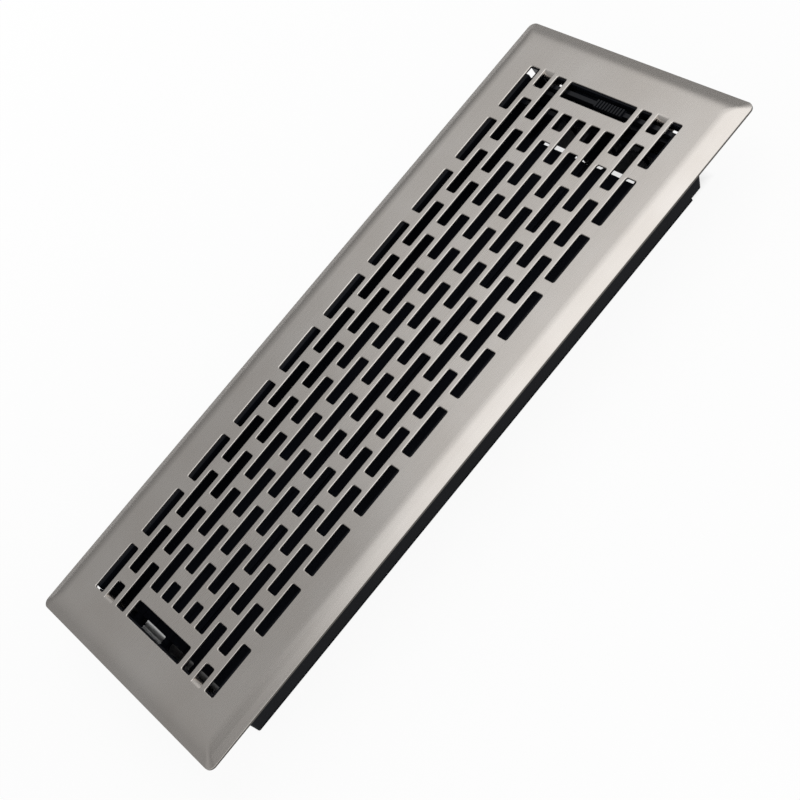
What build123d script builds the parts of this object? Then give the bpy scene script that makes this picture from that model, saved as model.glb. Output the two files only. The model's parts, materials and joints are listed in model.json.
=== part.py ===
from build123d import *
import math
import os

# Floor register: a pressed and slotted steel faceplate over a moulded damper box.
# Millimetres. Z is up, X runs along the length, and the lever end is at +X.
# The origin is the middle of the box's bottom edge.

# Faceplate
face_length = 342.9
face_width = 139.7
sheet = 1.0
crown = 3.5
rim_height = 1.05
bevel_angle = 20.0
bend_radius = 19.5
face_corner = 3.5

# Slot pattern: rows along X, each row shifted by half a pitch from the next
end_border = 21.48
row_pitch = 9.03
slot_length = 24.0
slot_width = 6.05
slot_corner = 0.9
corner_flats = 2
slots_per_row = 10
outer_row = 5

# Tabs lanced out of the corner slots, bent down to hold the box
tab_root = 1.5
tab_bend = 2.5
tab_leg = 3.7
tab_foot = 1.9

# Damper box
box_depth = 31.0
box_width = 96.6
wall = 1.8
box_corner = 1.0
inner_corner = 0.3
shoulder = 10.5
lever_end_lean = 9.1
plain_end_lean = 1.0
side_lean = 0.8
lever_end_step = 1.4
tab_window_width = 13.5
tab_window_height = 6.4
tab_window_margin = 4.4
corner_notch = 3.5
corner_notch_depth = 4.0

# Blades
blade_count = 4
pivot_drop = 16.0
pivot_radius = 2.0
spine_radius = 2.3
blade_thickness = 1.8
blade_edge = 1.0
plain_end_gap = 2.4
lever_end_gap = 8.5
partition = 2.0
partition_drop = 2.0
post_width = 6.4
post_gap = 0.8
post_reach = 2.0

# Cranks on the blades and the sliding lever that drives them
crank_radius = 9.0
crank_angle = 45.0
crank_pin_radius = 1.5
crank_width = 5.6
crank_thickness = 2.6
crank_overhang = 3.5
lever_thickness = 2.0
lever_top_drop = 1.2
lever_corner = 2.0
lug = 1.9
tooth_reach = 2.2
tooth_corner = 1.5
guide_lip = 1.5
guide_rail = 2.0
pad_length = 17.5
pad_width = 3.8
pad_depth = 1.7
pad_ribs = 10
rib_height = 0.8
rib_share = 0.55

# Clearances
pivot_clearance = 0.06
slide_clearance = 0.4
seat_clearance = 0.3
tab_clearance = 0.3
blade_clearance = 0.7
crank_play = 0.6

# Levels
floor_level = box_depth
top_level = floor_level + crown
under_level = top_level - sheet
shoulder_level = floor_level - shoulder
pivot_level = floor_level - pivot_drop
through = 2.0 * (box_depth + crown)

# Border of the faceplate: a slope from the rim, then a bend into the flat field
tilt_angle = math.radians(bevel_angle)
bend_drop = bend_radius * (1 - math.cos(tilt_angle))
slope_run = (crown - rim_height - bend_drop) / math.tan(tilt_angle)
field_margin = slope_run + bend_radius * math.sin(tilt_angle)

# Places along the length
field_end = face_length / 2 - end_border
slot_pitch = (2 * field_end - slot_length) / (slots_per_row - 1)
slot_gap = slot_pitch - slot_length
short_slot = slot_pitch / 2 - slot_gap
window_start = field_end - short_slot
window_middle = field_end - short_slot / 2
window_length = 4 * row_pitch + slot_width
tab_row = outer_row - 1
tab_start = field_end + tab_root
tab_inner_face = tab_start - tab_bend
box_inner_end = tab_inner_face + tab_clearance
box_outer_end = box_inner_end + wall
box_half_width = box_width / 2
lean_at_pivot = (shoulder_level - pivot_level) / shoulder_level

# Blade and lever places
side_at_pivot = box_half_width - side_lean * lean_at_pivot
blade_pitch = 2 * (side_at_pivot - wall) / blade_count
blade_chord = blade_pitch - blade_clearance
blade_rows = [(i - (blade_count - 1) / 2) * blade_pitch for i in range(blade_count)]
lever_middle = window_middle
lever_front = lever_middle - lever_thickness / 2
lever_back = lever_middle + lever_thickness / 2
guide_face = lever_front - slide_clearance
crank_end = guide_face - wall - slide_clearance
crank_start = crank_end - crank_thickness
partition_end = crank_start - crank_overhang
partition_start = partition_end - partition
blade_start = plain_end_gap - box_inner_end
pivot_tip = plain_end_lean * lean_at_pivot + seat_clearance - box_outer_end
blade_end = partition_start - lever_end_gap
crank_tilt = math.radians(crank_angle)
crank_reach = crank_radius * math.sin(crank_tilt)
crank_rise = crank_radius * math.cos(crank_tilt)
comb_half_width = crank_pin_radius + crank_play
comb_top = pivot_level + crank_radius + comb_half_width
lever_bottom = pivot_level + crank_rise - crank_pin_radius - tooth_reach
lever_top = under_level - lever_top_drop
lever_half_length = blade_rows[-1] + comb_half_width + lug


def crown_profile(half_span, edge, radius, foot):
    """Closed outline of the crowned section: a flat middle, a bend and a sloping border."""
    bend_x = half_span - field_margin
    bend_z = top_level - bend_radius
    tangent_x = bend_x + radius * math.sin(tilt_angle)
    tangent_z = bend_z + radius * math.cos(tilt_angle)
    middle_x = bend_x + radius * math.sin(tilt_angle / 2)
    middle_z = bend_z + radius * math.cos(tilt_angle / 2)
    edge_z = tangent_z - (edge - tangent_x) * math.tan(tilt_angle)
    top_z = bend_z + radius
    outline = [
        Line((-edge, foot), (-edge, edge_z)),
        Line((-edge, edge_z), (-tangent_x, tangent_z)),
        ThreePointArc((-tangent_x, tangent_z), (-middle_x, middle_z), (-bend_x, top_z)),
        Line((-bend_x, top_z), (bend_x, top_z)),
        ThreePointArc((bend_x, top_z), (middle_x, middle_z), (tangent_x, tangent_z)),
        Line((tangent_x, tangent_z), (edge, edge_z)),
        Line((edge, edge_z), (edge, foot)),
        Line((edge, foot), (-edge, foot)),
    ]
    return make_face(outline)


def crowned_block(edge_inset, radius, foot):
    """Solid under the crowned surface, cut to the rounded plan of the plate."""
    half_length = face_length / 2
    half_width = face_width / 2
    along = crown_profile(half_length, half_length - edge_inset, radius, foot)
    across = crown_profile(half_width, half_width - edge_inset, radius, foot)
    length_block = extrude(Plane.XZ * along, face_width, both=True)
    width_block = extrude(Plane.YZ * across, face_length, both=True)
    plan = RectangleRounded(
        face_length - 2 * edge_inset, face_width - 2 * edge_inset, face_corner - edge_inset
    )
    plan_block = extrude(Plane.XY.offset(foot) * plan, through)
    return length_block & width_block & plan_block


def slot_places():
    """Middle and length of every plain slot: rows stagger, and the lever windows shorten two rows."""
    places = []
    for row in range(-outer_row, outer_row + 1):
        shifted = (row - outer_row) % 2
        count = slots_per_row - shifted
        for index in range(count):
            x = (index - (count - 1) / 2) * slot_pitch
            length = slot_length
            if abs(row) == 1 and index in (0, count - 1):
                x = math.copysign(window_start - slot_gap - short_slot / 2, x)
                length = short_slot
            places.append((x, row * row_pitch, length))
    return places


def slot_shape(length, width):
    """Outline of a slot, its corners turned in a few short flats because there are so many of them."""
    points = []
    for quarter, (along, across) in enumerate([(1, 1), (-1, 1), (-1, -1), (1, -1)]):
        corner_x = along * (length / 2 - slot_corner)
        corner_y = across * (width / 2 - slot_corner)
        for step in range(corner_flats + 1):
            turn = (quarter + step / corner_flats) * math.pi / 2
            points.append((corner_x + slot_corner * math.cos(turn), corner_y + slot_corner * math.sin(turn)))
    return Polygon(*points, align=None)


def tab():
    """Lip bent down at the +X end of a corner slot, with a foot turned out under the box wall."""
    outer = tab_bend + sheet
    bend_z = top_level - outer
    half_turn = math.sqrt(0.5)
    leg_z = bend_z - tab_leg
    outline = [
        Line((tab_start, top_level), (tab_start, under_level)),
        ThreePointArc(
            (tab_start, under_level),
            (tab_start - tab_bend * half_turn, bend_z + tab_bend * half_turn),
            (tab_inner_face, bend_z),
        ),
        Line((tab_inner_face, bend_z), (tab_inner_face, leg_z + sheet)),
        Line((tab_inner_face, leg_z + sheet), (tab_inner_face + tab_foot, leg_z + sheet)),
        Line((tab_inner_face + tab_foot, leg_z + sheet), (tab_inner_face + tab_foot, leg_z)),
        Line((tab_inner_face + tab_foot, leg_z), (tab_start - outer, leg_z)),
        Line((tab_start - outer, leg_z), (tab_start - outer, bend_z)),
        ThreePointArc(
            (tab_start - outer, bend_z),
            (tab_start - outer * half_turn, bend_z + outer * half_turn),
            (tab_start, top_level),
        ),
    ]
    return extrude(Plane.XZ * make_face(outline), slot_width / 2, both=True)


def plan_shape(low_x, high_x, half_width, corner):
    """Rounded rectangle between two places along X."""
    middle = (low_x + high_x) / 2
    return Pos(middle, 0) * RectangleRounded(high_x - low_x, 2 * half_width, corner)


def box_block(inset, top, bottom):
    """Outside of the box, or its hollow when inset by the wall."""
    corner = max(box_corner - inset, inner_corner)
    upper_plan = plan_shape(
        inset - box_outer_end, box_outer_end - inset, box_half_width - inset, corner
    )
    lower_plan = plan_shape(
        plain_end_lean + inset - box_outer_end,
        box_outer_end - lever_end_lean - inset,
        box_half_width - side_lean - inset,
        corner,
    )
    upper = extrude(Plane.XY.offset(shoulder_level) * upper_plan, top - shoulder_level)
    lower = loft(
        [Plane.XY * lower_plan, Plane.XY.offset(shoulder_level) * upper_plan], ruled=True
    )
    block = upper + lower
    if bottom < 0:
        block += extrude(Plane.XY * lower_plan, bottom)
    return block


def bar(low, high):
    """Rectangular block between two corners."""
    size = [b - a for a, b in zip(low, high)]
    return Pos(*low) * Box(*size, align=(Align.MIN, Align.MIN, Align.MIN))


def rod(radius, start, end, y, z):
    """Round bar along X."""
    return extrude(Plane.YZ.offset(start) * Pos(y, z) * Circle(radius), end - start)


# Pressed sheet with its sloping border and turned-down rim
faceplate = crowned_block(0, bend_radius, floor_level)
faceplate -= crowned_block(sheet, bend_radius - sheet, floor_level - sheet)

# Punched slots and the two lever windows
punch = Sketch()
for slot_x, slot_y, length in slot_places():
    punch += Pos(slot_x, slot_y) * slot_shape(length, slot_width)
for side in (-1, 1):
    punch += Pos(side * window_middle, 0) * slot_shape(short_slot, window_length)
    for row in (-tab_row, tab_row):
        punch += Pos(side * window_middle, row * row_pitch) * slot_shape(short_slot, slot_width)
        punch += Pos(side * (window_middle + tab_start) / 2, row * row_pitch) * Rectangle(
            tab_start - window_middle, slot_width
        )
faceplate -= extrude(Plane.XY.offset(under_level - sheet) * punch, 3 * sheet)

# Holding tabs at the corner slots
for row in (-tab_row, tab_row):
    lever_end_tab = Pos(0, row * row_pitch) * tab()
    faceplate += lever_end_tab
    faceplate += mirror(lever_end_tab, Plane.YZ)

# Box walls, with a leaning end below the lever
box_outside = box_block(0, under_level, 0)
damper_box = box_outside - box_block(wall, under_level + sheet, -sheet)

# Partition that carries the blades, its stiffening post, and the guides of the lever
inner_parts = bar(
    (partition_start, -box_half_width, 0),
    (partition_end, box_half_width, floor_level - partition_drop),
)
inner_parts += bar(
    (blade_end + post_gap, -post_width / 2, pivot_level - post_reach),
    (partition_end, post_width / 2, floor_level - partition_drop),
)
guide_start = guide_face - wall
groove_level = lever_bottom - seat_clearance
inner_parts += bar(
    (guide_start, -box_half_width, groove_level - wall),
    (box_outer_end, box_half_width, groove_level),
)
inner_parts += bar(
    (guide_start, -box_half_width, groove_level - wall),
    (guide_face, box_half_width, groove_level + guide_lip),
)
rail_level = comb_top + crank_play
inner_parts += bar(
    (guide_start, -box_half_width, rail_level), (guide_face, box_half_width, rail_level + guide_rail)
)
inner_parts += bar(
    (lever_back + slide_clearance, -window_length / 2, rail_level),
    (box_outer_end, window_length / 2, rail_level + guide_rail),
)
damper_box += inner_parts & box_outside

# Open-topped bearings in the partition and round bearings in the plain end
bearing_radius = pivot_radius + pivot_clearance
for y in blade_rows:
    damper_box -= rod(bearing_radius, partition_start - wall, partition_end + wall, y, pivot_level)
    damper_box -= bar(
        (partition_start - wall, y - bearing_radius, pivot_level),
        (partition_end + wall, y + bearing_radius, floor_level),
    )
    damper_box -= rod(bearing_radius, -box_outer_end - wall, wall - box_inner_end, y, pivot_level)

# Windows that the tabs hook through, and the shallower bottom at the lever end
tab_window_top = top_level - tab_bend - tab_leg + tab_clearance
tab_window_outer = tab_row * row_pitch + slot_width / 2 + tab_window_margin
for side in (-1, 1):
    for across in (-1, 1):
        damper_box -= Pos(
            side * (box_inner_end + wall / 2),
            across * (tab_window_outer - tab_window_width / 2),
            tab_window_top - tab_window_height / 2,
        ) * Box(2 * wall, tab_window_width, tab_window_height)
        damper_box -= Pos(
            side * (box_inner_end - wall + tab_start + tab_clearance) / 2,
            across * tab_row * row_pitch,
            under_level,
        ) * Box(
            tab_start + tab_clearance - box_inner_end + wall,
            slot_width + 2 * tab_clearance,
            2 * (tab_bend + tab_clearance),
        )
damper_box -= bar(
    (partition_end, -box_half_width, -wall), (box_outer_end, box_half_width, lever_end_step)
)

# Notches in the side walls' top corners
notch_level = under_level - corner_notch_depth
notch_inside = box_half_width - 1.5 * wall
for low_y, high_y in ((-box_half_width - wall, -notch_inside), (notch_inside, box_half_width + wall)):
    damper_box -= bar((box_inner_end - corner_notch, low_y, notch_level), (box_inner_end, high_y, top_level))
    damper_box -= bar((-box_outer_end - wall, low_y, notch_level), (-box_inner_end, high_y, top_level))

# One blade with its spine, pivots and crank, closed, about its own pivot line
half_chord = blade_chord / 2
half_edge = blade_edge / 2
half_thick = blade_thickness / 2
blade_section = make_face(
    Polyline(
        (-half_chord, -half_edge),
        (0, -half_thick),
        (half_chord, -half_edge),
        (half_chord, half_edge),
        (0, half_thick),
        (-half_chord, half_edge),
        close=True,
    )
)
blade_section += Circle(spine_radius)
blade = extrude(Plane.YZ.offset(blade_start) * blade_section, blade_end - blade_start)
blade += rod(pivot_radius, pivot_tip, blade_start, 0, 0)
blade += rod(pivot_radius, blade_end, crank_end, 0, 0)
crank_shape = Rot(0, 0, 90 + crank_angle) * Pos(crank_radius / 2, 0) * SlotCenterToCenter(
    crank_radius, crank_width
)
blade += extrude(Plane.YZ.offset(crank_start) * crank_shape, crank_thickness)
blade += rod(crank_pin_radius, crank_end, lever_back, -crank_reach, crank_rise)

# Sliding lever: a comb over the crank pins with a ribbed thumb pad along its top edge
lever = bar(
    (lever_front, -lever_half_length, lever_bottom), (lever_back, lever_half_length, lever_top)
)
lever = fillet(lever.edges().filter_by(Axis.X).group_by(Axis.Z)[-1], lever_corner)
lever = fillet(lever.edges().filter_by(Axis.X).group_by(Axis.Z)[0], tooth_corner)
for y in blade_rows:
    lever -= rod(comb_half_width, lever_front - wall, lever_back + wall, y, comb_top - comb_half_width)
    lever -= bar(
        (lever_front - wall, y - comb_half_width, lever_bottom - wall),
        (lever_back + wall, y + comb_half_width, comb_top - comb_half_width),
    )
pad_low = lever_top - pad_depth
pad_front = lever_middle - pad_width / 2
pad_back = lever_middle + pad_width / 2
lever += bar((pad_front, -pad_length / 2, pad_low), (pad_back, pad_length / 2, lever_top))
rib_pitch = pad_length / pad_ribs
rib_half = rib_pitch * rib_share / 2
for index in range(pad_ribs):
    rib_y = (index - (pad_ribs - 1) / 2) * rib_pitch
    lever += bar(
        (pad_front, rib_y - rib_half, pad_low), (pad_back, rib_y + rib_half, lever_top + rib_height)
    )
lever = Pos(0, -crank_reach, 0) * lever

# One file for each piece
os.makedirs("parts", exist_ok=True)
export_step(faceplate, "parts/faceplate.step")
export_step(damper_box, "parts/damper_box.step")
export_step(lever, "parts/lever.step")
for index, y in enumerate(blade_rows):
    export_step(Pos(0, y, pivot_level) * blade, f"parts/blade_{index + 1}.step")
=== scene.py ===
"""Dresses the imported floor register: a satin nickel faceplate over black moulded damper parts."""

import json
import math

import bmesh
import bpy
from bpy.props import FloatProperty, FloatVectorProperty, IntProperty, PointerProperty
from mathutils import Matrix, Vector
from mathutils.geometry import delaunay_2d_cdt


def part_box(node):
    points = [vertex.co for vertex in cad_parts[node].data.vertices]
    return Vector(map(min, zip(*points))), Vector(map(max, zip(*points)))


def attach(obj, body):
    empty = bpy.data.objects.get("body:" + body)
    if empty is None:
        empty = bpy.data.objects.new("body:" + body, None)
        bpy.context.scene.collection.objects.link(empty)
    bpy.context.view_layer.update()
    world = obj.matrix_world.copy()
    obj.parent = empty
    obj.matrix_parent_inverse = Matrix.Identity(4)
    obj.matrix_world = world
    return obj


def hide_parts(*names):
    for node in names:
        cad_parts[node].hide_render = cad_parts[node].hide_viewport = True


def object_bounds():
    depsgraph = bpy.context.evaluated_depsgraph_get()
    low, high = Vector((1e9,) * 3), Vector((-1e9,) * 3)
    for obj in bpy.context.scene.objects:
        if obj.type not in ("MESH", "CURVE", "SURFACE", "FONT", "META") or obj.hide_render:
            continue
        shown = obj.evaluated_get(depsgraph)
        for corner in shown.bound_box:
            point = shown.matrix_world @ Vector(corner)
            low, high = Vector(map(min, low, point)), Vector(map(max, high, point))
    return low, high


bl_info = {
    "name": "Floor Register",
    "version": (1, 0, 0),
    "blender": (4, 5, 0),
    "location": "View3D > Sidebar > Register",
    "description": "Makes the pieces, finishes and studio of a floor register around its packed model",
    "category": "Object",
}

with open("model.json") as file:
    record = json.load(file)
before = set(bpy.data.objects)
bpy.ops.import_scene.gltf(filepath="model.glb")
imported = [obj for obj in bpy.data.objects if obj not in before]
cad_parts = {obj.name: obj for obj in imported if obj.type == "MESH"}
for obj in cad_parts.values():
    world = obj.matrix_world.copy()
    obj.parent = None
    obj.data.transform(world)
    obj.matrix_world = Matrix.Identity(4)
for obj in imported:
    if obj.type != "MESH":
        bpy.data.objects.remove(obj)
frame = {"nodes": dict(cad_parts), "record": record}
CAD_LOW, CAD_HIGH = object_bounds()
_, PLATE_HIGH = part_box("faceplate")
FLOOR_SEAT = next(m for m in frame["record"]["mounts"] if m["name"] == "floor_seat")
SEAT_LEVEL = FLOOR_SEAT["pos_m"][2]

MM = 0.001
UPRIGHT = math.pi / 2
# Faces that meet at less than this are one smooth surface
SMOOTH_ANGLE = math.radians(40)
# Most values of a noise texture lie between these two
NOISE_LOW, NOISE_HIGH = 0.3, 0.7
# Camera sensor, in millimetres
SENSOR_WIDTH = 36.0

# Material, specular level and range of roughness of each moulded finish
BOX_FINISH = {"name": "black_polystyrene_moulded", "specular": 0.07, "smooth": 0.15, "rough": 0.22}
LEVER_FINISH = {"name": "black_polystyrene_polished", "specular": 0.20, "smooth": 0.32, "rough": 0.40}
BLADE_FINISH = {"name": "black_polystyrene_etched", "specular": 0.02, "smooth": 0.55, "rough": 0.65}

OVERHEAD_LAMPS = ("core", "mid", "wide", "end")


def linear_colour(hex_code):
    """Linear red, green and blue of an sRGB hex colour."""
    channels = [int(hex_code[i : i + 2], 16) / 255 for i in (0, 2, 4)]
    return tuple(c / 12.92 if c <= 0.04045 else ((c + 0.055) / 1.055) ** 2.4 for c in channels)


def length(name, description, millimetres):
    """A size property in metres whose default is given in millimetres."""
    return FloatProperty(
        name=name, description=description, default=millimetres * MM, unit="LENGTH", precision=5
    )


def angle(name, description, degrees):
    """An angle property whose default is given in degrees."""
    return FloatProperty(
        name=name, description=description, default=math.radians(degrees), subtype="ANGLE"
    )


def place(name, description, metres):
    """A property for a point in the shared frame."""
    return FloatVectorProperty(
        name=name, description=description, default=metres, subtype="TRANSLATION", unit="LENGTH"
    )


def extent(name, description, metres):
    """A property for a width and a depth."""
    return FloatVectorProperty(
        name=name, description=description, default=metres, size=2, unit="LENGTH"
    )


def share(name, description, default):
    """A property for a part of a whole."""
    return FloatProperty(
        name=name, description=description, default=default, subtype="FACTOR", min=0, max=1
    )


def brightness(name, description, default):
    """A property for a level of light, where 1 shows as white."""
    return FloatProperty(name=name, description=description, default=default, min=0)


def colour(name, description, hex_code):
    """A colour property whose default is given as an sRGB hex value."""
    return FloatVectorProperty(
        name=name, description=description, default=linear_colour(hex_code), subtype="COLOR", min=0, max=1
    )


class FaceplateSizes(bpy.types.PropertyGroup):
    """Sizes of the pressed and slotted faceplate."""

    sheet: length("Sheet", "Thickness of the steel", 1.0)
    rim_height: length("Rim height", "Height of the turned-down edge above the floor", 1.05)
    rim_edge: length("Rim edge", "Radius of the rim's upper edge", 0.2)
    bevel_angle: angle("Bevel angle", "Slope of the border", 20.0)
    bend_radius: length("Bend radius", "Radius where the border bends into the flat field", 19.5)
    face_corner: length("Corner", "Radius of the plate's corners", 3.5)
    hip_corner: length("Hip", "Radius where two sloping borders meet", 2.0)
    end_border: length("End border", "From the slots to the plate's end", 21.48)
    row_pitch: length("Row pitch", "From one row of slots to the next", 9.03)
    slot_length: length("Slot length", "Length of a whole slot", 24.0)
    slot_width: length("Slot width", "Width of a slot", 6.05)
    slot_corner: length("Slot corner", "Radius of a slot's corners", 0.9)
    slots_per_row: IntProperty(name="Slots", description="Whole slots in the outer rows", default=10, min=2)
    outer_row: IntProperty(
        name="Outer row", description="Rows on each side of the middle one", default=5, min=2
    )
    roll_width: length("Edge roll", "How far the punched edge draws the sheet down beside a slot", 0.42)
    roll_depth: length("Roll depth", "How deep the punched edge is drawn down", 0.42)
    tab_root: length("Tab root", "How far outside the slots' ends a holding tab starts to bend", 1.5)
    tab_bend: length("Tab bend", "Inside radius of a tab's bend", 2.5)
    tab_leg: length("Tab leg", "Depth of a tab below its bend", 3.7)
    tab_foot: length("Tab foot", "Length of a tab's foot under the box wall", 1.9)


class PlasticSizes(bpy.types.PropertyGroup):
    """Edge radii of the moulded parts."""

    box_edge: length("Box edge", "Radius of the damper box's edges", 0.35)
    lever_edge: length("Lever edge", "Radius of the lever's edges", 0.15)
    blade_edge: length("Blade edge", "Radius of the blades' edges", 0.25)


class FinishColours(bpy.types.PropertyGroup):
    """Colours of the finishes and the floor."""

    nickel_deep: colour("Nickel, deep", "Darker tone of the nickel plate", "d3cdc7")
    nickel_pale: colour("Nickel, pale", "Lighter tone of the nickel plate", "dad5d0")
    # Painted shade: dark grey painted on the rim's outer face, below its top edge, in place of the shade it
    # reflects
    rim_painted_shade: colour("Sheared edge", "Dull cut edge of the sheet", "5c5955")
    plastic_deep: colour("Plastic, deep", "Darker tone of the black plastic", "0d0f14")
    plastic_pale: colour("Plastic, pale", "Lighter tone of the black plastic", "14161c")
    floor: colour("Floor", "Studio floor", "ffffff")


class StageSettings(bpy.types.PropertyGroup):
    """Camera, floor and light of the room."""

    camera_place: place("Camera", "Where the camera stands", (-0.0953, -0.5514, 0.5583))
    camera_aim: place("Aim", "Point on the plate at the middle of the frame", (-0.01, -0.023, PLATE_HIGH.z))
    camera_roll: angle("Roll", "Turn of the camera about its view line", 43.99)
    camera_lens: FloatProperty(
        name="Lens", description="Focal length on a 36 mm sensor", default=82.07, unit="CAMERA"
    )
    floor_size: FloatProperty(
        name="Floor", description="Width of the studio floor", default=40.0, unit="LENGTH"
    )
    floor_gap: length("Floor gap", "From the box's bottom edge down to the floor", 0.1)
    floor_glow: share("Floor glow", "Share of the floor near the part that shows plain white", 0.93)
    covered_glow: share("Covered glow", "Part of that white which is left under the box", 0.8)
    lit_length: length("Lit length", "Reach of the lit strips under the box from its plain end", 3.9)
    lit_width: length("Lit width", "Width of the bright strip at the box's far side", 22.0)
    dark_width: length("Dark width", "From the box's far side to the faint strip at its near side", 39.0)
    faint_glow: share("Faint glow", "Part of plain white in the faint strip", 0.18)
    dome_low: brightness("Dome, low", "Brightness of the room near the horizon", 0.177)
    dome_high: brightness("Dome, high", "Brightness of the room above", 0.40)
    dome_dip: brightness("Dome, dip", "Brightness taken off straight overhead", 0.20)
    dome_front: brightness("Dome, front", "Added brightness on the near side", 0.34)
    dome_side: brightness("Dome, side", "Added brightness on the plain end's side", 0.3)


class LampSettings(bpy.types.PropertyGroup):
    """Softboxes: four that face straight down, and one that faces the part from the near side."""

    core_place: place("Core place", "Middle of the softbox over the lever end", (0.30, -0.08, 0.80))
    core_size: extent("Core size", "Sides of the softbox over the lever end", (0.86, 0.86))
    core_turn: angle("Core turn", "Turn of the softbox over the lever end", 0.0)
    core_glow: brightness("Core glow", "Brightness of the softbox over the lever end", 0.40)
    mid_place: place("Mid place", "Middle of the softbox beyond the core", (0.37, 0.14, 0.81))
    mid_size: extent("Mid size", "Sides of the softbox beyond the core", (0.79, 1.14))
    mid_turn: angle("Mid turn", "Turn of the softbox beyond the core", -7.0)
    mid_glow: brightness("Mid glow", "Brightness of the softbox beyond the core", 0.455)
    wide_place: place("Wide place", "Middle of the long softbox", (0.58, 0.59, 0.82))
    wide_size: extent("Wide size", "Sides of the long softbox", (0.90, 2.65))
    wide_turn: angle("Wide turn", "Turn of the long softbox", -9.0)
    wide_glow: brightness("Wide glow", "Brightness of the long softbox", 0.146)
    end_place: place("End place", "Middle of the small softbox off the lever end", (0.92, 0.88, 0.83))
    end_size: extent("End size", "Sides of the small softbox off the lever end", (0.59, 0.25))
    end_turn: angle("End turn", "Turn of the small softbox off the lever end", 32.0)
    end_glow: brightness("End glow", "Brightness of the small softbox off the lever end", 0.342)
    near_place: place("Near place", "Middle of the softbox on the near side", (0.0, -1.6, 1.2))
    near_size: extent("Near size", "Sides of the softbox on the near side", (1.2, 1.2))
    near_turn: angle("Near turn", "Turn of the softbox on the near side", 0.0)
    near_glow: brightness("Near glow", "Brightness of the softbox on the near side", 0.35)


def add_node(tree, kind, settings=None, links=None):
    """Adds a node, sets its inputs or options by name and links other nodes' outputs to its inputs."""
    node = tree.nodes.new(kind)
    for name, value in (settings or {}).items():
        if isinstance(name, int) or name in node.inputs:
            node.inputs[name].default_value = value
        else:
            setattr(node, name, value)
    for name, source in (links or {}).items():
        tree.links.new(source, node.inputs[name])
    return node


def new_material(name):
    """An empty node material and its tree."""
    material = bpy.data.materials.new(name)
    material.use_nodes = True
    material.node_tree.nodes.clear()
    return material, material.node_tree


def opaque(rgb):
    """A colour socket's value."""
    return (*rgb, 1.0)


def set_ramp(node, stops):
    """Gives a colour ramp its stops, as places and colours."""
    ramp = node.color_ramp
    for index, (position, rgb) in enumerate(stops):
        stop = ramp.elements[index] if index < len(ramp.elements) else ramp.elements.new(position)
        stop.position = position
        stop.color = opaque(rgb)


def satin_nickel(colours, rim_level):
    """Steel plated with nickel and brushed along its length: a warm grey with a soft, streaked sheen."""
    # Brush lines are about 0.1 mm wide, and are drawn 0.9 mm wide so that they show
    streak_length, streak_width, streak_depth = 60 * MM, 0.9 * MM, 0.02 * MM
    # Brushing leaves some lines a little smoother than others
    smooth, rough = 0.255, 0.285
    # Uneven plating shows as tones some 30 mm across
    tone_size = 30 * MM
    # Painted shade: below the rim's top the nickel fades over this height into dark grey, for the shade
    # that the rim's outer face shows
    rim_shade_fade = 0.2 * MM
    material, tree = new_material("satin_nickel_brushed")
    spot = add_node(tree, "ShaderNodeTexCoord").outputs["Object"]
    stretched = add_node(
        tree, "ShaderNodeMapping", {"Scale": (1 / streak_length, 1 / streak_width, 1 / streak_width)},
        {"Vector": spot},
    )
    streaks = add_node(
        tree, "ShaderNodeTexNoise", {"Scale": 1.0, "Detail": 2.0}, {"Vector": stretched.outputs["Vector"]}
    )
    tones = add_node(tree, "ShaderNodeTexNoise", {"Scale": 1 / tone_size, "Detail": 3.0}, {"Vector": spot})
    tint = add_node(tree, "ShaderNodeValToRGB", links={"Fac": tones.outputs["Fac"]})
    set_ramp(tint, [(NOISE_LOW, colours.nickel_deep), (NOISE_HIGH, colours.nickel_pale)])
    sheen = add_node(
        tree, "ShaderNodeMapRange",
        {"From Min": NOISE_LOW, "From Max": NOISE_HIGH, "To Min": smooth, "To Max": rough},
        {"Value": streaks.outputs["Fac"]},
    )
    height = add_node(tree, "ShaderNodeSeparateXYZ", links={"Vector": spot}).outputs["Z"]
    rim_shade_mask = add_node(
        tree, "ShaderNodeMapRange", {"From Min": rim_level - rim_shade_fade, "From Max": rim_level},
        {"Value": height},
    )
    # Painted shade: below the rim's top the dark grey takes the place of the nickel's tone
    tint = add_node(
        tree, "ShaderNodeMixRGB", {"Color1": opaque(colours.rim_painted_shade)},
        {"Fac": rim_shade_mask.outputs["Result"], "Color2": tint.outputs["Color"]},
    )
    relief = add_node(
        tree, "ShaderNodeBump", {"Strength": 0.02, "Distance": streak_depth},
        {"Height": streaks.outputs["Fac"]},
    )
    shader = add_node(
        tree, "ShaderNodeBsdfPrincipled", {"Metallic": 1.0},
        {
            "Base Color": tint.outputs["Color"],
            "Roughness": sheen.outputs["Result"],
            "Normal": relief.outputs["Normal"],
        },
    )
    add_node(tree, "ShaderNodeOutputMaterial", links={"Surface": shader.outputs["BSDF"]})
    return material


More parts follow.
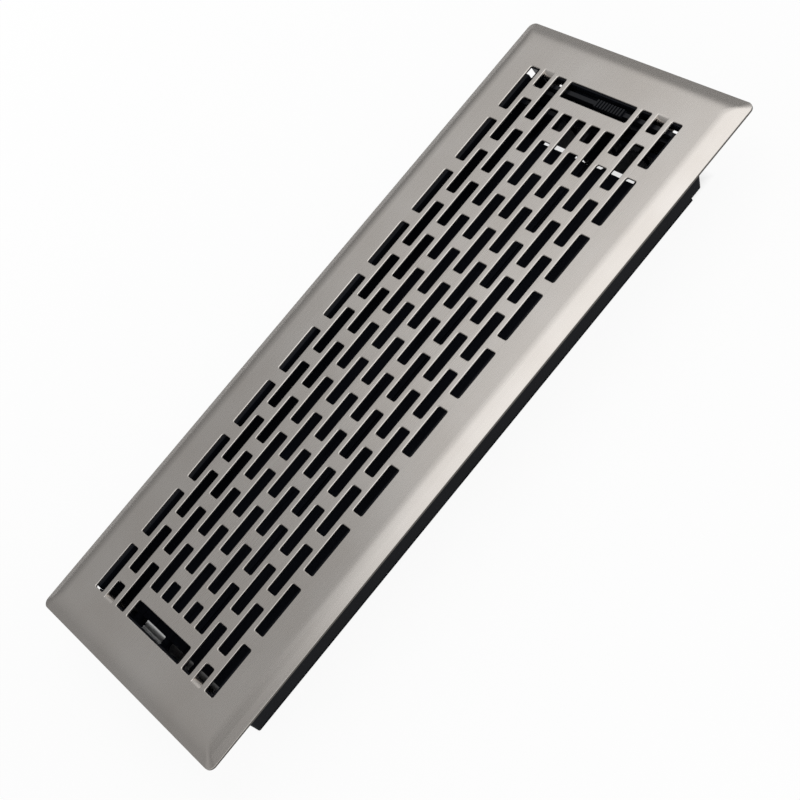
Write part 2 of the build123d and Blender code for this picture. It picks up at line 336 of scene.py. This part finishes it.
def black_plastic(colours, name, specular, smooth, rough):
    """Black polystyrene moulded in an etched or polished tool: near black with an even gloss."""
    found = bpy.data.materials.get(name)
    if found:
        return found
    # Etched grain is about 0.15 mm across, and is drawn 0.5 mm across so that it shows
    grain_size, grain_depth = 0.5 * MM, 0.03 * MM
    # Flow of the melt leaves broad, faint tones
    flow_size = 35 * MM
    material, tree = new_material(name)
    spot = add_node(tree, "ShaderNodeTexCoord").outputs["Object"]
    grain = add_node(tree, "ShaderNodeTexNoise", {"Scale": 1 / grain_size, "Detail": 3.0}, {"Vector": spot})
    flow = add_node(tree, "ShaderNodeTexNoise", {"Scale": 1 / flow_size, "Detail": 2.0}, {"Vector": spot})
    tint = add_node(tree, "ShaderNodeValToRGB", links={"Fac": flow.outputs["Fac"]})
    set_ramp(tint, [(NOISE_LOW, colours.plastic_deep), (NOISE_HIGH, colours.plastic_pale)])
    gloss = add_node(
        tree, "ShaderNodeMapRange",
        {"From Min": NOISE_LOW, "From Max": NOISE_HIGH, "To Min": smooth, "To Max": rough},
        {"Value": grain.outputs["Fac"]},
    )
    relief = add_node(
        tree, "ShaderNodeBump", {"Strength": 0.12, "Distance": grain_depth},
        {"Height": grain.outputs["Fac"]},
    )
    shader = add_node(
        tree, "ShaderNodeBsdfPrincipled", {"IOR": 1.5, "Specular IOR Level": specular},
        {
            "Base Color": tint.outputs["Color"],
            "Roughness": gloss.outputs["Result"],
            "Normal": relief.outputs["Normal"],
        },
    )
    add_node(tree, "ShaderNodeOutputMaterial", links={"Surface": shader.outputs["BSDF"]})
    return material


def white_floor(colours, stage, low, high):
    """Painted studio floor round the box: matt white that keeps a part of the shadow on it."""
    # How far from the box its white fades out of reflections, and the shadow fades out of the white
    mirror_full, mirror_end = 0.03, 0.2
    shadow_full, shadow_end = 0.05, 0.5
    # How far in under the box the floor gets as dark as it is there
    covered_reach = 5 * MM
    material, tree = new_material("studio_floor_white")
    rays = add_node(tree, "ShaderNodeLightPath").outputs
    spot = add_node(tree, "ShaderNodeTexCoord").outputs["Object"]
    aside = add_node(tree, "ShaderNodeVectorMath", {"operation": "ABSOLUTE"}, {0: spot})
    beyond = add_node(
        tree, "ShaderNodeVectorMath", {"operation": "SUBTRACT", 1: high}, {0: aside.outputs[0]}
    )
    reach = add_node(tree, "ShaderNodeSeparateXYZ", links={0: beyond.outputs[0]}).outputs
    farthest = add_node(
        tree, "ShaderNodeMath", {"operation": "MAXIMUM"}, {0: reach["X"], 1: reach["Y"]}
    ).outputs[0]
    # Reflections show plain white round the box, and the floor as the lamps light it farther off
    outside = add_node(tree, "ShaderNodeMath", {"operation": "GREATER_THAN", 1: 0.0}, {0: farthest})
    close_by = add_node(
        tree, "ShaderNodeMapRange",
        {"From Min": mirror_full, "From Max": mirror_end, "To Min": 1.0, "To Max": 0.0},
        {"Value": farthest},
    )
    white = add_node(
        tree, "ShaderNodeMath", {"operation": "MULTIPLY"},
        {0: outside.outputs[0], 1: close_by.outputs["Result"]},
    )
    # Light comes down beside the blades' plain end in a bright far strip and a faint near one
    along, across, _ = add_node(tree, "ShaderNodeSeparateXYZ", links={0: spot}).outputs
    plain_end = add_node(
        tree, "ShaderNodeMath", {"operation": "LESS_THAN", 1: low.x + stage.lit_length}, {0: along}
    )
    far_strip = add_node(
        tree, "ShaderNodeMath", {"operation": "GREATER_THAN", 1: high.y - stage.lit_width}, {0: across}
    )
    near_strip = add_node(
        tree, "ShaderNodeMath", {"operation": "LESS_THAN", 1: high.y - stage.dark_width}, {0: across}
    )
    near_strip = add_node(
        tree, "ShaderNodeMath", {"operation": "MULTIPLY", 1: stage.faint_glow}, {0: near_strip.outputs[0]}
    )
    strips = add_node(
        tree, "ShaderNodeMath", {"operation": "MAXIMUM"},
        {0: far_strip.outputs[0], 1: near_strip.outputs[0]},
    )
    strips = add_node(
        tree, "ShaderNodeMath", {"operation": "MULTIPLY"}, {0: plain_end.outputs[0], 1: strips.outputs[0]}
    )
    covered = add_node(tree, "ShaderNodeMath", {"operation": "LESS_THAN", 1: 0.0}, {0: farthest})
    strips = add_node(
        tree, "ShaderNodeMath", {"operation": "MULTIPLY"}, {0: strips.outputs[0], 1: covered.outputs[0]}
    )
    white = add_node(
        tree, "ShaderNodeMath", {"operation": "MAXIMUM"}, {0: white.outputs[0], 1: strips.outputs[0]}
    )
    mirrored = add_node(
        tree, "ShaderNodeMath", {"operation": "MAXIMUM"},
        {0: rays["Is Glossy Ray"], 1: rays["Is Transmission Ray"]},
    )
    mirrored = add_node(
        tree, "ShaderNodeMath", {"operation": "MULTIPLY"}, {0: mirrored.outputs[0], 1: white.outputs[0]}
    )
    seen = add_node(
        tree, "ShaderNodeMath", {"operation": "MAXIMUM"}, {0: rays["Is Camera Ray"], 1: mirrored.outputs[0]}
    )
    # The shadow stays near the part, and the floor far off is as white as the backdrop
    plain = add_node(
        tree, "ShaderNodeMapRange",
        {"From Min": shadow_full, "From Max": shadow_end, "To Min": stage.floor_glow, "To Max": 1.0},
        {"Value": farthest},
    )
    # Under the box the floor lies in shadow and shows a little darker through the gaps
    shaded = add_node(
        tree, "ShaderNodeMapRange",
        {"From Min": -covered_reach, "From Max": 0.0, "To Min": stage.covered_glow, "To Max": 1.0},
        {"Value": farthest},
    )
    shaded = add_node(
        tree, "ShaderNodeMath", {"operation": "MAXIMUM"},
        {0: shaded.outputs["Result"], 1: strips.outputs[0]},
    )
    plain = add_node(
        tree, "ShaderNodeMath", {"operation": "MULTIPLY"},
        {0: plain.outputs["Result"], 1: shaded.outputs[0]},
    )
    plain = add_node(
        tree, "ShaderNodeMath", {"operation": "MULTIPLY"}, {0: seen.outputs[0], 1: plain.outputs[0]}
    )
    paint = add_node(tree, "ShaderNodeBsdfDiffuse", {"Color": opaque(colours.floor)})
    light = add_node(tree, "ShaderNodeEmission", {"Color": opaque(colours.floor), "Strength": 1.0})
    mixed = add_node(
        tree, "ShaderNodeMixShader", links={0: plain.outputs[0], 1: paint.outputs[0], 2: light.outputs[0]}
    )
    add_node(tree, "ShaderNodeOutputMaterial", links={"Surface": mixed.outputs[0]})
    return material


def rounded_loop(half_x, half_y, corner, middle=(0.0, 0.0), steps=6):
    """Points of a rounded rectangle, anticlockwise."""
    points = []
    for quarter, (along, across) in enumerate([(1, 1), (-1, 1), (-1, -1), (1, -1)]):
        corner_x = middle[0] + along * (half_x - corner)
        corner_y = middle[1] + across * (half_y - corner)
        for step in range(steps + 1):
            turn = (quarter + step / steps) * math.pi / 2
            points.append((corner_x + corner * math.cos(turn), corner_y + corner * math.sin(turn)))
    return points


class Shell:
    """Vertices and faces of a mesh that is built ring by ring."""

    def __init__(self):
        self.points = []
        self.faces = []

    def ring(self, outline, height):
        """Adds a level loop and returns its vertex numbers."""
        first = len(self.points)
        self.points += [(x, y, height) for x, y in outline]
        return list(range(first, len(self.points)))

    def join(self, ring, other):
        """Faces between two loops of as many points."""
        for i in range(len(ring)):
            after = (i + 1) % len(ring)
            self.faces.append((ring[i], ring[after], other[after], other[i]))

    def fill(self, outside, holes):
        """Level face inside one loop and round the others."""
        inside_only, tolerance = 1, 1e-7
        loops = [outside, *holes]
        numbers = [n for loop in loops for n in loop]
        flat = [Vector(self.points[n][:2]) for n in numbers]
        starts = [sum(len(loop) for loop in loops[:i]) for i in range(len(loops))]
        polygons = [list(range(s, s + len(loop))) for s, loop in zip(starts, loops)]
        cut = delaunay_2d_cdt(flat, [], polygons, inside_only, tolerance)
        _, _, triangles, sources, _, inside = cut
        for triangle, owners in zip(triangles, inside):
            # A triangle that only the outside loop holds lies in no hole
            if owners == [0]:
                self.faces.append([numbers[sources[corner][0]] for corner in triangle])

    def prism(self, outline, middle):
        """Closed block from an outline of X, Z and half width, about a place along Y."""
        first = len(self.points)
        count = len(outline)
        for side in (-1, 1):
            self.points += [(x, middle + side * half, z) for x, z, half in outline]
        for i in range(count):
            after = (i + 1) % count
            self.faces.append((first + i, first + after, first + count + after, first + count + i))
        self.faces.append(list(range(first, first + count)))
        self.faces.append(list(range(first + count, first + 2 * count)))

    def make(self, name, smooth_angle):
        """Mesh object with outward faces, smooth up to the given angle."""
        mesh = bpy.data.meshes.new(name)
        mesh.from_pydata(self.points, [], self.faces)
        work = bmesh.new()
        work.from_mesh(mesh)
        bmesh.ops.recalc_face_normals(work, faces=work.faces)
        work.to_mesh(mesh)
        work.free()
        mesh.shade_smooth()
        mesh.set_sharp_from_angle(angle=smooth_angle)
        piece = bpy.data.objects.new(name, mesh)
        bpy.context.scene.collection.objects.link(piece)
        return piece


def arc(middle_x, middle_z, radius, start, end, steps):
    """Points along an arc in a section."""
    turns = [start + (end - start) * i / steps for i in range(steps + 1)]
    return [(middle_x + radius * math.cos(t), middle_z + radius * math.sin(t)) for t in turns]


def border_section(sizes):
    """Section of the border as inset and height, from the underside round the rim to the top."""
    bend_steps, rim_steps = 8, 4
    tilt = sizes.bevel_angle
    top = PLATE_HIGH.z
    rim_top = SEAT_LEVEL + sizes.rim_height
    bend_drop = sizes.bend_radius * (1 - math.cos(tilt))
    slope_run = (top - rim_top - bend_drop) / math.tan(tilt)
    margin = slope_run + sizes.bend_radius * math.sin(tilt)
    bend_z = top - sizes.bend_radius
    inner_radius = sizes.bend_radius - sizes.sheet
    under = arc(margin, bend_z, inner_radius, UPRIGHT, UPRIGHT + tilt, bend_steps)
    under_end = under[-1]
    inner_wall = sizes.sheet
    under.append((inner_wall, under_end[1] - (under_end[0] - inner_wall) * math.tan(tilt)))
    land_break = sizes.rim_edge / 2
    under += [(inner_wall, SEAT_LEVEL), (land_break, SEAT_LEVEL), (0.0, SEAT_LEVEL + land_break)]
    # The rim's upper edge is an arc that meets the upright rim and the slope
    edge = sizes.rim_edge
    edge_rise = edge * math.tan((UPRIGHT - tilt) / 2)
    edge_z = rim_top - edge_rise
    rim = arc(edge, edge_z, edge, math.pi, UPRIGHT + tilt, rim_steps)
    over = arc(margin, bend_z, sizes.bend_radius, UPRIGHT + tilt, UPRIGHT, bend_steps)
    return under + rim + over


def slot_list(sizes):
    """Middle and half sizes of every opening, the places of the tabs and the end of the slotted field."""
    # Rows that an end window crosses on each side of the middle one
    window_rows = 2
    field_end = PLATE_HIGH.x - sizes.end_border
    pitch = (2 * field_end - sizes.slot_length) / (sizes.slots_per_row - 1)
    gap = pitch - sizes.slot_length
    short = pitch / 2 - gap
    half_width = sizes.slot_width / 2
    window_x = field_end - short / 2
    openings = []
    for row in range(-sizes.outer_row, sizes.outer_row + 1):
        # Every other row has one slot fewer, which staggers them
        count = sizes.slots_per_row - (row - sizes.outer_row) % 2
        for index in range(count):
            x = (index - (count - 1) / 2) * pitch
            half_length = sizes.slot_length / 2
            # The windows leave room for short slots only in the rows beside the middle one
            if abs(row) == 1 and index in (0, count - 1):
                x = math.copysign(field_end - short - gap - short / 2, x)
                half_length = short / 2
            openings.append((x, row * sizes.row_pitch, half_length, half_width))
    tab_row = sizes.outer_row - 1
    window_half = window_rows * sizes.row_pitch + half_width
    tab_edge = field_end + sizes.tab_root - sizes.roll_width
    tab_x = (field_end - short + tab_edge) / 2
    tab_half = tab_edge - tab_x
    tabs = []
    for side in (-1, 1):
        openings.append((side * window_x, 0.0, short / 2, window_half))
        for row in (-tab_row, tab_row):
            openings.append((side * tab_x, row * sizes.row_pitch, tab_half, half_width))
            tabs.append((side, row * sizes.row_pitch))
    return openings, tabs, field_end


def tab_section(sizes, side, field_end):
    """Outline of a holding tab as X, Z and half width: a bend out of the plate, a leg and a foot."""
    bend_steps = 16
    start = field_end + sizes.tab_root
    outer = sizes.tab_bend + sizes.sheet
    bend_z = PLATE_HIGH.z - outer
    foot_z = bend_z - sizes.tab_leg
    foot_top = foot_z + sizes.sheet
    leg_in, leg_out = start - outer, start - sizes.tab_bend
    foot_x = leg_out + sizes.tab_foot
    half = sizes.slot_width / 2
    # The root is wider by the rolled slot edges, so that it comes out of the plate without a step
    widths = [half + sizes.roll_width * max(0.0, 1 - 2 * i / bend_steps) for i in range(bend_steps + 1)]
    front = arc(start, bend_z, outer, UPRIGHT, math.pi, bend_steps)
    back = arc(start, bend_z, sizes.tab_bend, UPRIGHT, math.pi, bend_steps)
    foot = [(leg_in, foot_z), (foot_x, foot_z), (foot_x, foot_top), (leg_out, foot_top)]
    outline = [(x, z, w) for (x, z), w in zip(front, widths)]
    outline += [(x, z, half) for x, z in foot]
    outline += [(x, z, w) for (x, z), w in zip(back[::-1], widths[::-1])]
    return [(side * x, z, w) for x, z, w in outline]


def build_faceplate(sizes):
    """Pressed sheet with rolled slot edges, a bent border and four holding tabs."""
    roll_steps = 5
    shell = Shell()
    rings = []
    for inset, height in border_section(sizes):
        corner = max(sizes.face_corner - inset, sizes.hip_corner)
        outline = rounded_loop(PLATE_HIGH.x - inset, PLATE_HIGH.y - inset, corner)
        rings.append(shell.ring(outline, height))
    for ring, other in zip(rings, rings[1:]):
        shell.join(ring, other)
    openings, tabs, field_end = slot_list(sizes)
    top = PLATE_HIGH.z
    top_loops, under_loops = [], []
    for x, y, half_x, half_y in openings:
        slot_rings = []
        for step in range(roll_steps + 1):
            turn = step / roll_steps * math.pi / 2
            out = sizes.roll_width * (1 - math.sin(turn))
            drop = sizes.roll_depth * (1 - math.cos(turn))
            outline = rounded_loop(half_x + out, half_y + out, sizes.slot_corner + out, (x, y))
            slot_rings.append(shell.ring(outline, top - drop))
        outline = rounded_loop(half_x, half_y, sizes.slot_corner, (x, y))
        slot_rings.append(shell.ring(outline, top - sizes.sheet))
        for ring, other in zip(slot_rings, slot_rings[1:]):
            shell.join(ring, other)
        top_loops.append(slot_rings[0])
        under_loops.append(slot_rings[-1])
    shell.fill(rings[-1], top_loops)
    shell.fill(rings[0], under_loops)
    for side, y in tabs:
        shell.prism(tab_section(sizes, side, field_end), y)
    piece = shell.make("faceplate_pressed", SMOOTH_ANGLE)
    # The largest face at a corner sets its normal, so that the field stays flat up to the rolled edges
    weights = piece.modifiers.new("flat_faces_lead", "WEIGHTED_NORMAL")
    weights.keep_sharp = True
    weights.weight = 100
    return piece


def soften_edges(node, radius):
    """Rounds a moulded part's edges, as its tool does, and keeps its flats flat."""
    seam_gap = 0.002 * MM
    weld = node.modifiers.new("close_seams", "WELD")
    weld.merge_threshold = seam_gap
    bevel = node.modifiers.new("moulded_edges", "BEVEL")
    bevel.width = radius
    bevel.segments = 2
    bevel.limit_method = "ANGLE"
    bevel.angle_limit = SMOOTH_ANGLE
    weights = node.modifiers.new("flat_faces_lead", "WEIGHTED_NORMAL")
    weights.keep_sharp = True


def finish_node(name, finish):
    """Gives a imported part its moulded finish."""
    node = frame["nodes"][name]
    node.data.materials.clear()
    node.data.materials.append(black_plastic(bpy.context.scene.register_colours, **finish))
    return node


class REGISTER_OT_faceplate(bpy.types.Operator):
    """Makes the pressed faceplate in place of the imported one"""

    bl_idname = "floor_register.faceplate"
    bl_label = "Faceplate"

    def execute(self, context):
        sizes = context.scene.register_plate
        piece = build_faceplate(sizes)
        rim_level = SEAT_LEVEL + sizes.rim_height
        piece.data.materials.append(satin_nickel(context.scene.register_colours, rim_level))
        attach(piece, "base")
        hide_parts("faceplate")
        return {"FINISHED"}


class REGISTER_OT_damper_box(bpy.types.Operator):
    """Finishes the damper box"""

    bl_idname = "floor_register.damper_box"
    bl_label = "Damper box"

    def execute(self, context):
        soften_edges(finish_node("damper_box", BOX_FINISH), context.scene.register_plastic.box_edge)
        return {"FINISHED"}


class REGISTER_OT_lever(bpy.types.Operator):
    """Finishes the sliding lever and its ribbed pad"""

    bl_idname = "floor_register.lever"
    bl_label = "Lever"

    def execute(self, context):
        soften_edges(finish_node("lever", LEVER_FINISH), context.scene.register_plastic.lever_edge)
        return {"FINISHED"}


class REGISTER_OT_blades(bpy.types.Operator):
    """Finishes the damper blades"""

    bl_idname = "floor_register.blades"
    bl_label = "Blades"

    def execute(self, context):
        for name in frame["nodes"]:
            if name.startswith("blade_"):
                soften_edges(finish_node(name, BLADE_FINISH), context.scene.register_plastic.blade_edge)
        return {"FINISHED"}


def add_softbox(lamps, name, aim):
    """Rectangular lamp of an even brightness, facing a point."""
    middle = getattr(lamps, f"{name}_place")
    width, depth = getattr(lamps, f"{name}_size")
    turn = getattr(lamps, f"{name}_turn")
    lamp = bpy.data.lights.new(f"{name}_softbox", "AREA")
    lamp.shape = "RECTANGLE"
    lamp.size, lamp.size_y = width, depth
    # With this power the lamp's face is as bright as its setting says
    lamp.energy = getattr(lamps, f"{name}_glow") * math.pi * width * depth
    holder = bpy.data.objects.new(f"{name}_softbox", lamp)
    look = (Vector(aim) - Vector(middle)).to_track_quat("-Z", "Y").to_matrix().to_4x4()
    holder.matrix_world = Matrix.Translation(middle) @ look @ Matrix.Rotation(turn, 4, "Z")
    holder.visible_camera = False
    bpy.context.scene.collection.objects.link(holder)


def light_room(stage):
    """Room light: dim low down, brighter above and on two sides, in front of a white backdrop."""
    # Where each change starts and ends, as parts of a unit vector away from the part
    wall_end, ceiling_start = 0.15, 0.7
    dip_start, dip_full = 0.78, 0.98
    front_start, front_full = 0.1, -0.7
    side_way, side_start, side_full = (-0.9, -0.44, 0.0), 0.3, 0.85
    backdrop_full, backdrop_end = 0.03, 0.16
    lever_start, lever_full = 0.3, 0.6
    # Part of the backdrop's white that reflections keep away from the lever end
    backdrop_rest = 0.05
    world = bpy.data.worlds.new("studio_room")
    bpy.context.scene.world = world
    world.use_nodes = True
    tree = world.node_tree
    tree.nodes.clear()
    way = add_node(tree, "ShaderNodeTexCoord").outputs["Generated"]
    parts = add_node(tree, "ShaderNodeSeparateXYZ", links={"Vector": way}).outputs
    rise = add_node(
        tree, "ShaderNodeMapRange",
        {
            "From Min": wall_end,
            "From Max": ceiling_start,
            "To Min": stage.dome_low,
            "To Max": stage.dome_high,
        },
        {"Value": parts["Z"]},
    )
    dip = add_node(
        tree, "ShaderNodeMapRange",
        {"From Min": dip_start, "From Max": dip_full, "To Min": 0.0, "To Max": stage.dome_dip},
        {"Value": parts["Z"]},
    )
    total = add_node(
        tree, "ShaderNodeMath", {"operation": "SUBTRACT"},
        {0: rise.outputs["Result"], 1: dip.outputs["Result"]},
    )
    front = add_node(
        tree, "ShaderNodeMapRange",
        {"From Min": front_start, "From Max": front_full, "To Min": 0.0, "To Max": stage.dome_front},
        {"Value": parts["Y"]},
    )
    beside = add_node(tree, "ShaderNodeVectorMath", {"operation": "DOT_PRODUCT", 1: side_way}, {0: way})
    side = add_node(
        tree, "ShaderNodeMapRange",
        {"From Min": side_start, "From Max": side_full, "To Min": 0.0, "To Max": stage.dome_side},
        {"Value": beside.outputs["Value"]},
    )
    for added in (front, side):
        total = add_node(
            tree, "ShaderNodeMath", {"operation": "ADD"}, {0: total.outputs[0], 1: added.outputs["Result"]}
        )
    # The white backdrop shows in reflections as a low band, strongest off the lever end
    rays = add_node(tree, "ShaderNodeLightPath").outputs
    low_band = add_node(
        tree, "ShaderNodeMapRange",
        {"From Min": backdrop_full, "From Max": backdrop_end, "To Min": 1.0, "To Max": 0.0},
        {"Value": parts["Z"]},
    )
    lever_side = add_node(
        tree, "ShaderNodeMapRange",
        {"From Min": lever_start, "From Max": lever_full, "To Min": backdrop_rest, "To Max": 1.0},
        {"Value": parts["X"]},
    )
    band = add_node(
        tree, "ShaderNodeMath", {"operation": "MULTIPLY"},
        {0: low_band.outputs["Result"], 1: lever_side.outputs["Result"]},
    )
    mirrored = add_node(
        tree, "ShaderNodeMath", {"operation": "MAXIMUM"},
        {0: rays["Is Glossy Ray"], 1: rays["Is Transmission Ray"]},
    )
    mirrored = add_node(
        tree, "ShaderNodeMath", {"operation": "MULTIPLY"}, {0: mirrored.outputs[0], 1: band.outputs[0]}
    )
    seen = add_node(
        tree, "ShaderNodeMath", {"operation": "MAXIMUM"}, {0: rays["Is Camera Ray"], 1: mirrored.outputs[0]}
    )
    strength = add_node(
        tree, "ShaderNodeMapRange", {"To Max": 1.0}, {"Value": seen.outputs[0], "To Min": total.outputs[0]}
    )
    light = add_node(
        tree, "ShaderNodeBackground", {"Color": (1, 1, 1, 1)}, {"Strength": strength.outputs["Result"]}
    )
    add_node(tree, "ShaderNodeOutputWorld", links={"Surface": light.outputs[0]})


def aim_camera(stage):
    """Camera at the photograph's viewing angle."""
    lens = bpy.data.cameras.new("photo_camera")
    lens.lens = stage.camera_lens
    lens.sensor_width = SENSOR_WIDTH
    camera = bpy.data.objects.new("photo_camera", lens)
    ahead = Vector(stage.camera_aim) - Vector(stage.camera_place)
    look = ahead.to_track_quat("-Z", "Y").to_matrix().to_4x4()
    roll = Matrix.Rotation(-stage.camera_roll, 4, "Z")
    camera.matrix_world = Matrix.Translation(stage.camera_place) @ look @ roll
    bpy.context.scene.collection.objects.link(camera)
    bpy.context.scene.camera = camera


class REGISTER_OT_stage(bpy.types.Operator):
    """Makes the floor, the lights and the camera"""

    bl_idname = "floor_register.stage"
    bl_label = "Stage"

    def execute(self, context):
        scene = context.scene
        stage, lamps = scene.register_stage, scene.register_lamps
        half = stage.floor_size / 2
        corners = [(-half, -half), (half, -half), (half, half), (-half, half)]
        shell = Shell()
        shell.faces.append(shell.ring(corners, CAD_LOW.z - stage.floor_gap))
        floor = shell.make("studio_floor", 0.0)
        low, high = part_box("damper_box")
        floor.data.materials.append(white_floor(scene.register_colours, stage, low, high))
        for name in OVERHEAD_LAMPS:
            x, y, _ = getattr(lamps, f"{name}_place")
            add_softbox(lamps, name, (x, y, 0.0))
        add_softbox(lamps, "near", (0.0, 0.0, 0.0))
        light_room(stage)
        aim_camera(stage)
        scene.view_settings.view_transform = "Standard"
        return {"FINISHED"}


STEPS = (
    REGISTER_OT_faceplate,
    REGISTER_OT_damper_box,
    REGISTER_OT_lever,
    REGISTER_OT_blades,
    REGISTER_OT_stage,
)


class REGISTER_PT_sidebar(bpy.types.Panel):
    """Lists the steps that dress the register"""

    bl_idname = "REGISTER_PT_sidebar"
    bl_label = "Floor register"
    bl_space_type = "VIEW_3D"
    bl_region_type = "UI"
    bl_category = "Register"

    def draw(self, context):
        for step in STEPS:
            self.layout.operator(step.bl_idname)


SETTINGS = {
    "register_plate": FaceplateSizes,
    "register_plastic": PlasticSizes,
    "register_colours": FinishColours,
    "register_stage": StageSettings,
    "register_lamps": LampSettings,
}
CLASSES = (*SETTINGS.values(), *STEPS, REGISTER_PT_sidebar)


def register():
    """Adds the classes to Blender and the settings to its scenes."""
    for item in CLASSES:
        bpy.utils.register_class(item)
    for name, group in SETTINGS.items():
        setattr(bpy.types.Scene, name, PointerProperty(type=group))


def unregister():
    """Takes the settings and the classes out again."""
    for name in SETTINGS:
        delattr(bpy.types.Scene, name)
    for item in reversed(CLASSES):
        bpy.utils.unregister_class(item)


def main():
    """Dresses the register."""
    register()
    bpy.ops.floor_register.faceplate()
    bpy.ops.floor_register.damper_box()
    bpy.ops.floor_register.lever()
    bpy.ops.floor_register.blades()
    bpy.ops.floor_register.stage()


if __name__ == "__main__":
    main()
